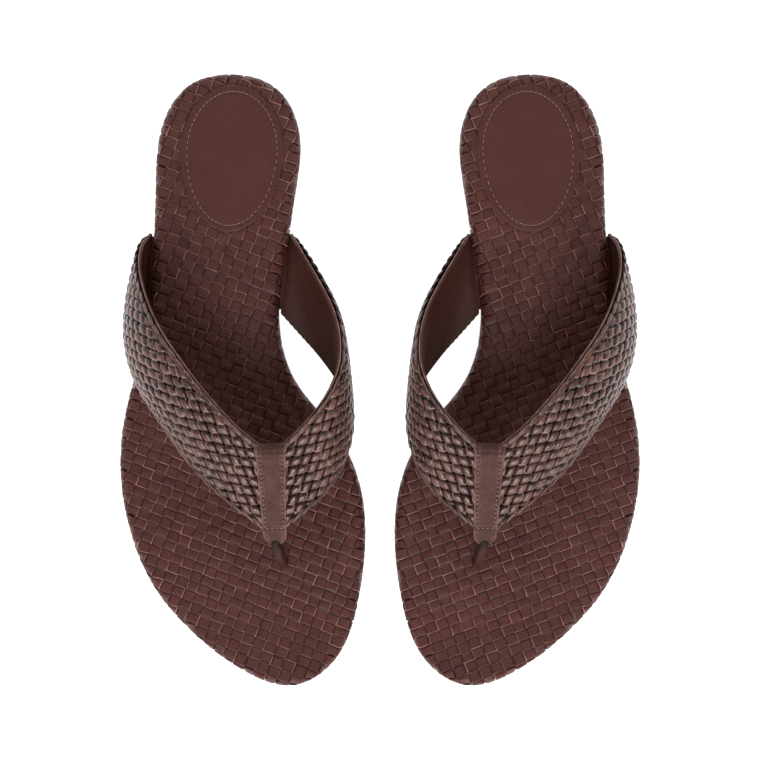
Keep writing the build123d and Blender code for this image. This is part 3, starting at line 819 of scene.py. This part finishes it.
def stitch_mesh(places, length, width):
    """Short arched threads: each place is (centre, direction, up)."""
    verts, faces = [], []
    for centre, direction, up in places:
        side = np.cross(direction, up)
        first = len(verts)
        for along, high, size in STITCH_SHAPE:
            middle = centre + direction * along * length + up * high
            for c, s in ring_turns(STITCH_AROUND):
                verts.append(middle + (side * c + up * s) * width / 2 * size)
        faces += tube_faces(len(STITCH_SHAPE), STITCH_AROUND, first)
    return verts, faces, (0, 0.5, 1)


# ---- Materials ----

def nodes_of(name):
    """A new material, its node tree and its shader."""
    material = bpy.data.materials.new(name)
    material.use_nodes = True
    tree = material.node_tree
    shader = next(n for n in tree.nodes if n.type == "BSDF_PRINCIPLED")
    return material, tree, shader


def feed(tree, node, values):
    """Links or sets a node's inputs, by their number, to sockets or constants."""
    for number, value in values.items():
        if isinstance(value, bpy.types.NodeSocket):
            tree.links.new(value, node.inputs[number])
        else:
            node.inputs[number].default_value = value


def colour_mix(tree, kind, factor, a, b):
    """A mix node of colours; factor, a and b are sockets or values."""
    node = tree.nodes.new("ShaderNodeMix")
    node.data_type = "RGBA"
    node.blend_type = kind
    feed(tree, node, {0: factor, 6: a, 7: b})
    return node.outputs[2]


def two_numbers(tree, operation, a, b):
    """A maths node; a and b are sockets or values."""
    node = tree.nodes.new("ShaderNodeMath")
    node.operation = operation
    feed(tree, node, {0: a, 1: b})
    return node.outputs[0]


def ranged(tree, value, low, high, to_low, to_high):
    """A value stretched from one range to another, and kept inside it."""
    node = tree.nodes.new("ShaderNodeMapRange")
    feed(tree, node, {0: value, 1: low, 2: high, 3: to_low, 4: to_high})
    return node.outputs[0]


def noise(tree, position, scale, detail=4.0, rough=0.55):
    """A noise texture's value."""
    node = tree.nodes.new("ShaderNodeTexNoise")
    node.inputs["Scale"].default_value = scale
    node.inputs["Detail"].default_value = detail
    node.inputs["Roughness"].default_value = rough
    tree.links.new(position, node.inputs["Vector"])
    return node.outputs["Fac"]


def object_place(tree):
    """Places in the piece's own frame, in metres."""
    return tree.nodes.new("ShaderNodeTexCoord").outputs["Object"]


def bumped(tree, shader, height, strength, distance):
    """A bump on the shader, from a height."""
    bump = tree.nodes.new("ShaderNodeBump")
    bump.inputs["Strength"].default_value = strength
    bump.inputs["Distance"].default_value = distance
    tree.links.new(height, bump.inputs["Height"])
    tree.links.new(bump.outputs[0], shader.inputs["Normal"])


def rgba(r, g, b):
    """A colour given as 8-bit sRGB, as the shader's linear values."""
    linear = [((c / 255 + 0.055) / 1.055) ** 2.4 if c > 10 else c / 255 / 12.92 for c in (r, g, b)]
    return (*linear, 1)


WHITE = (1, 1, 1, 1)
# Scales of the noises in leather, per metre, and the colours its specks and its painted shade in hollows
# multiply it by
SPECK_SCALE, EDGE_PATCH_SCALE, CREASE_SCALE, PORE_SCALE = 900, 260, 420, 2100
DARK_SPECK, PALE_SPECK, PAINTED_HOLLOW_SHADE = (0.6, 0.58, 0.58, 1), (1.4, 1.4, 1.4, 1), (0.1, 0.035, 0.03, 1)
CREASE_HEIGHT = 1.6  # next to the pores
GRAIN_DEPTH, MOTTLE_DEPTH, THREAD_TWIST = 0.00025, 0.0003, 3500  # metres, metres, per metre


def leather_grain(tree, shader, position, grain):
    """Fine pores and creases."""
    cells = tree.nodes.new("ShaderNodeTexVoronoi")
    cells.feature = "F1"
    cells.inputs["Scale"].default_value = PORE_SCALE
    tree.links.new(position, cells.inputs["Vector"])
    creases = two_numbers(tree, "MULTIPLY", noise(tree, position, CREASE_SCALE, 5.0, 0.6), CREASE_HEIGHT)
    bumped(tree, shader, two_numbers(tree, "ADD", creases, cells.outputs["Distance"]), grain, GRAIN_DEPTH)


def leather(name, dark, main, light, edge, roughness, grain=0.25, patch=55, coat=0.0, shine=0.35, specks=0.35,
            worked=True):
    """Leather: blotchy colour and fine grain, from 8-bit colours. Where it is worked, the mesh's look adds
    pale cut edges, from wear and a painted highlight, a tone for each strip, painted shade in hollows and
    painted highlights on tops."""
    material, tree, shader = nodes_of(name)
    position = object_place(tree)
    look = tree.nodes.new("ShaderNodeAttribute")
    look.attribute_name = "look"
    parts = tree.nodes.new("ShaderNodeSeparateColor")
    tree.links.new(look.outputs["Color"], parts.inputs[0])
    edge_amount, tone, painted_shading = parts.outputs
    blotch = noise(tree, position, patch)
    base = rgba(*main)
    if worked:
        base = colour_mix(tree, "MIX", ranged(tree, tone, 0, 1, 0, 1), rgba(*dark), base)
    base = colour_mix(tree, "MIX", ranged(tree, blotch, 0.42, 0.7, 0, 0.55), base, rgba(*light))
    if worked:
        # Painted highlight: the highest tops are mixed towards the light colour.
        base = colour_mix(tree, "MIX", ranged(tree, painted_shading, 0.93, 1.05, 0, 0.5), base, rgba(*light))
    speck = ranged(tree, noise(tree, position, SPECK_SCALE, 3.0, 0.6), 0.3, 0.7, 0, 1)
    base = colour_mix(tree, "MULTIPLY", specks, base, colour_mix(tree, "MIX", speck, DARK_SPECK, PALE_SPECK))
    if worked:
        # Painted shade: the lower a point's painted shading, the darker it is painted, down to the painted
        # shade colour of deep hollows.
        hollow_shade = colour_mix(tree, "MIX", ranged(tree, painted_shading, 0.6, 0.95, 0.05, 1), PAINTED_HOLLOW_SHADE, WHITE)
        base = colour_mix(tree, "MULTIPLY", 1.0, base, hollow_shade)
        # Pale cut edges, from wear and a painted highlight, broken into patches.
        patchy = ranged(tree, noise(tree, position, EDGE_PATCH_SCALE), 0.35, 0.6, 0.3, 1)
        base = colour_mix(tree, "MIX", two_numbers(tree, "MULTIPLY", edge_amount, patchy), base, rgba(*edge))
    tree.links.new(base, shader.inputs["Base Color"])
    uneven = ranged(tree, blotch, 0.3, 0.7, roughness - 0.07, roughness + 0.08)
    tree.links.new(uneven, shader.inputs["Roughness"])
    shader.inputs["Specular IOR Level"].default_value = shine
    if coat:
        shader.inputs["Coat Weight"].default_value = coat
        shader.inputs["Coat Roughness"].default_value = 0.3
    leather_grain(tree, shader, position, grain)
    return material


def plain(name, colour, roughness, scale, strength, metal=0.0):
    """A hidden piece's finish: slightly mottled, with a fine bump."""
    material, tree, shader = nodes_of(name)
    spots = noise(tree, object_place(tree), scale)
    low = (*(c * 0.75 for c in rgba(*colour)[:3]), 1)
    tree.links.new(colour_mix(tree, "MIX", spots, low, rgba(*colour)), shader.inputs["Base Color"])
    shader.inputs["Roughness"].default_value = roughness
    shader.inputs["Metallic"].default_value = metal
    bumped(tree, shader, spots, strength, MOTTLE_DEPTH)
    return material


def thread_material():
    """Twisted sewing thread."""
    material, tree, shader = nodes_of("thread")
    twist = noise(tree, object_place(tree), THREAD_TWIST, 1.0)
    colour = colour_mix(tree, "MIX", twist, rgba(110, 76, 68), rgba(190, 156, 146))
    tree.links.new(colour, shader.inputs["Base Color"])
    shader.inputs["Roughness"].default_value = 0.6
    return material


def dress_cad(finishes):
    """Materials for the CAD nodes that stay, by the end of each node's name."""
    for name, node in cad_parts.items():
        material = finishes.get(name.split("_", 1)[1])
        if material is not None:
            node.data.materials.clear()
            node.data.materials.append(material)


def build_object():
    """Every piece of both sandals."""
    # Each leather's colours are dark, main, light and edge. Light gives pale blotches and, on worked pieces,
    # the painted highlight on tops; edge is the pale cut edge, from wear and a painted highlight.
    footbed_leather = leather("footbed_leather", (64, 32, 28), (88, 46, 41), (92, 53, 48), (178, 124, 112),
                              0.44, shine=0.3)
    strap_leather = leather("strap_leather", (50, 21, 16), (68, 33, 26), (126, 84, 74), (184, 138, 126), 0.3,
                            grain=0.3, coat=0.12, shine=0.5, specks=0.7)
    edge_leather = leather("edge_leather", (64, 36, 31), (80, 48, 42), (100, 64, 57), (158, 118, 108), 0.42)
    pad_leather = leather("pad_leather", (78, 42, 36), (80, 43, 37), (86, 49, 43), (120, 80, 72), 0.55,
                          grain=0.15, shine=0.25)
    tab_finish = leather("tab_leather", (54, 27, 23), (64, 33, 28), (90, 55, 48), (160, 118, 108), 0.5,
                         grain=1.0, patch=160, shine=0.25, specks=0.85)
    lining_finish = leather("lining_leather", (78, 46, 42), (72, 39, 34), (84, 50, 44), (128, 88, 80), 0.45,
                            grain=0.15, shine=0.3, worked=False)
    outsole_finish = plain("outsole_edge", (46, 32, 29), 0.5, 400, 0.3)
    thread = thread_material()
    footbed(footbed_leather)
    straps(strap_leather, edge_leather)
    both_sides(("toe_tab_leather", tab_leather(), tab_finish, "tab_leather", "toe_tab"),
               ("toe_tab_stitches", tab_stitches(), thread, "thread", "toe_tab_stitching"))
    both_sides(("toe_post_leather", post_leather(), tab_finish, "tab_leather", "toe_post"))
    both_sides(("heel_pad_leather", heel_pad(), pad_leather, "smooth_leather", "heel_pad"),
               ("heel_pad_stitches", heel_stitches(), thread, "thread", "heel_pad_stitching"))
    dark = plain("dark_filling", (40, 26, 24), 0.9, 300, 0.3)
    dress_cad({
        "outer_strap_lining": lining_finish, "inner_strap_lining": lining_finish,
        "outsole": outsole_finish, "heel_lift": plain("heel_lift_leather", (50, 34, 30), 0.55, 250, 0.4),
        "heel_top_piece": plain("heel_rubber", (34, 28, 27), 0.8, 700, 0.5),
        "insole_board": dark, "footbed_foam": dark, "toe_post_core": dark,
        "heel_tacks": plain("tack_steel", (150, 146, 140), 0.35, 500, 0.1, metal=1.0),
        "toe_post_staple": plain("staple_steel", (170, 168, 164), 0.3, 500, 0.1, metal=1.0),
    })


# ---- Studio ----

CAMERA_HEIGHT = 1.5  # metres
VIEW_WIDTH = 0.3116  # metres of floor across the picture, at the footbed's height
FOOTBED_HEIGHT = 0.012
SENSOR = 36.0
FLOOR_SIZE, FLOOR_WHITE, FLOOR_GLOW, SKY_LIGHT = 6, (0.95, 0.95, 0.95, 1), 0.9, 0.22
LIGHTS = {  # name: (place, size, both in metres, and watts)
    "key": ((0, -1.5, 1.15), 1.0, 30),
    "left_fill": ((-1.4, 0.2, 1.1), 1.0, 4.5),
    "right_fill": ((1.4, 0.2, 1.1), 1.0, 4.5),
    "back": ((0, 1.5, 1.2), 1.2, 11),
}


def studio_floor():
    """A white floor and an even white sky."""
    bpy.ops.mesh.primitive_plane_add(size=FLOOR_SIZE)
    floor = bpy.context.object
    floor.name = "studio_floor"
    material, _, shader = nodes_of("studio_white")
    shader.inputs["Base Color"].default_value = FLOOR_WHITE
    shader.inputs["Roughness"].default_value = 0.9
    shader.inputs["Emission Color"].default_value = WHITE
    shader.inputs["Emission Strength"].default_value = FLOOR_GLOW
    floor.data.materials.append(material)
    world = bpy.data.worlds.new("studio")
    world.use_nodes = True
    sky = world.node_tree.nodes["Background"]
    sky.inputs["Color"].default_value = WHITE
    sky.inputs["Strength"].default_value = SKY_LIGHT
    bpy.context.scene.world = world


def lights():
    """Soft lights round the pair, the strongest beyond the toes."""
    for name, (place, size, power) in LIGHTS.items():
        light = bpy.data.lights.new(name, "AREA")
        light.size = size
        light.energy = power
        lamp = bpy.data.objects.new(name, light)
        lamp.location = place
        lamp.rotation_mode = "QUATERNION"
        lamp.rotation_quaternion = (-Vector(place)).to_track_quat("-Z", "Y")
        bpy.context.scene.collection.objects.link(lamp)


def camera():
    """A camera straight above the pair."""
    data = bpy.data.cameras.new("camera")
    data.sensor_width = SENSOR
    data.lens = SENSOR * (CAMERA_HEIGHT - FOOTBED_HEIGHT) / VIEW_WIDTH
    eye = bpy.data.objects.new("camera", data)
    eye.location = (0, 0, CAMERA_HEIGHT)
    bpy.context.scene.collection.objects.link(eye)
    bpy.context.scene.camera = eye
    bpy.context.scene.view_settings.view_transform = "Standard"


build_object()
studio_floor()
lights()
camera()
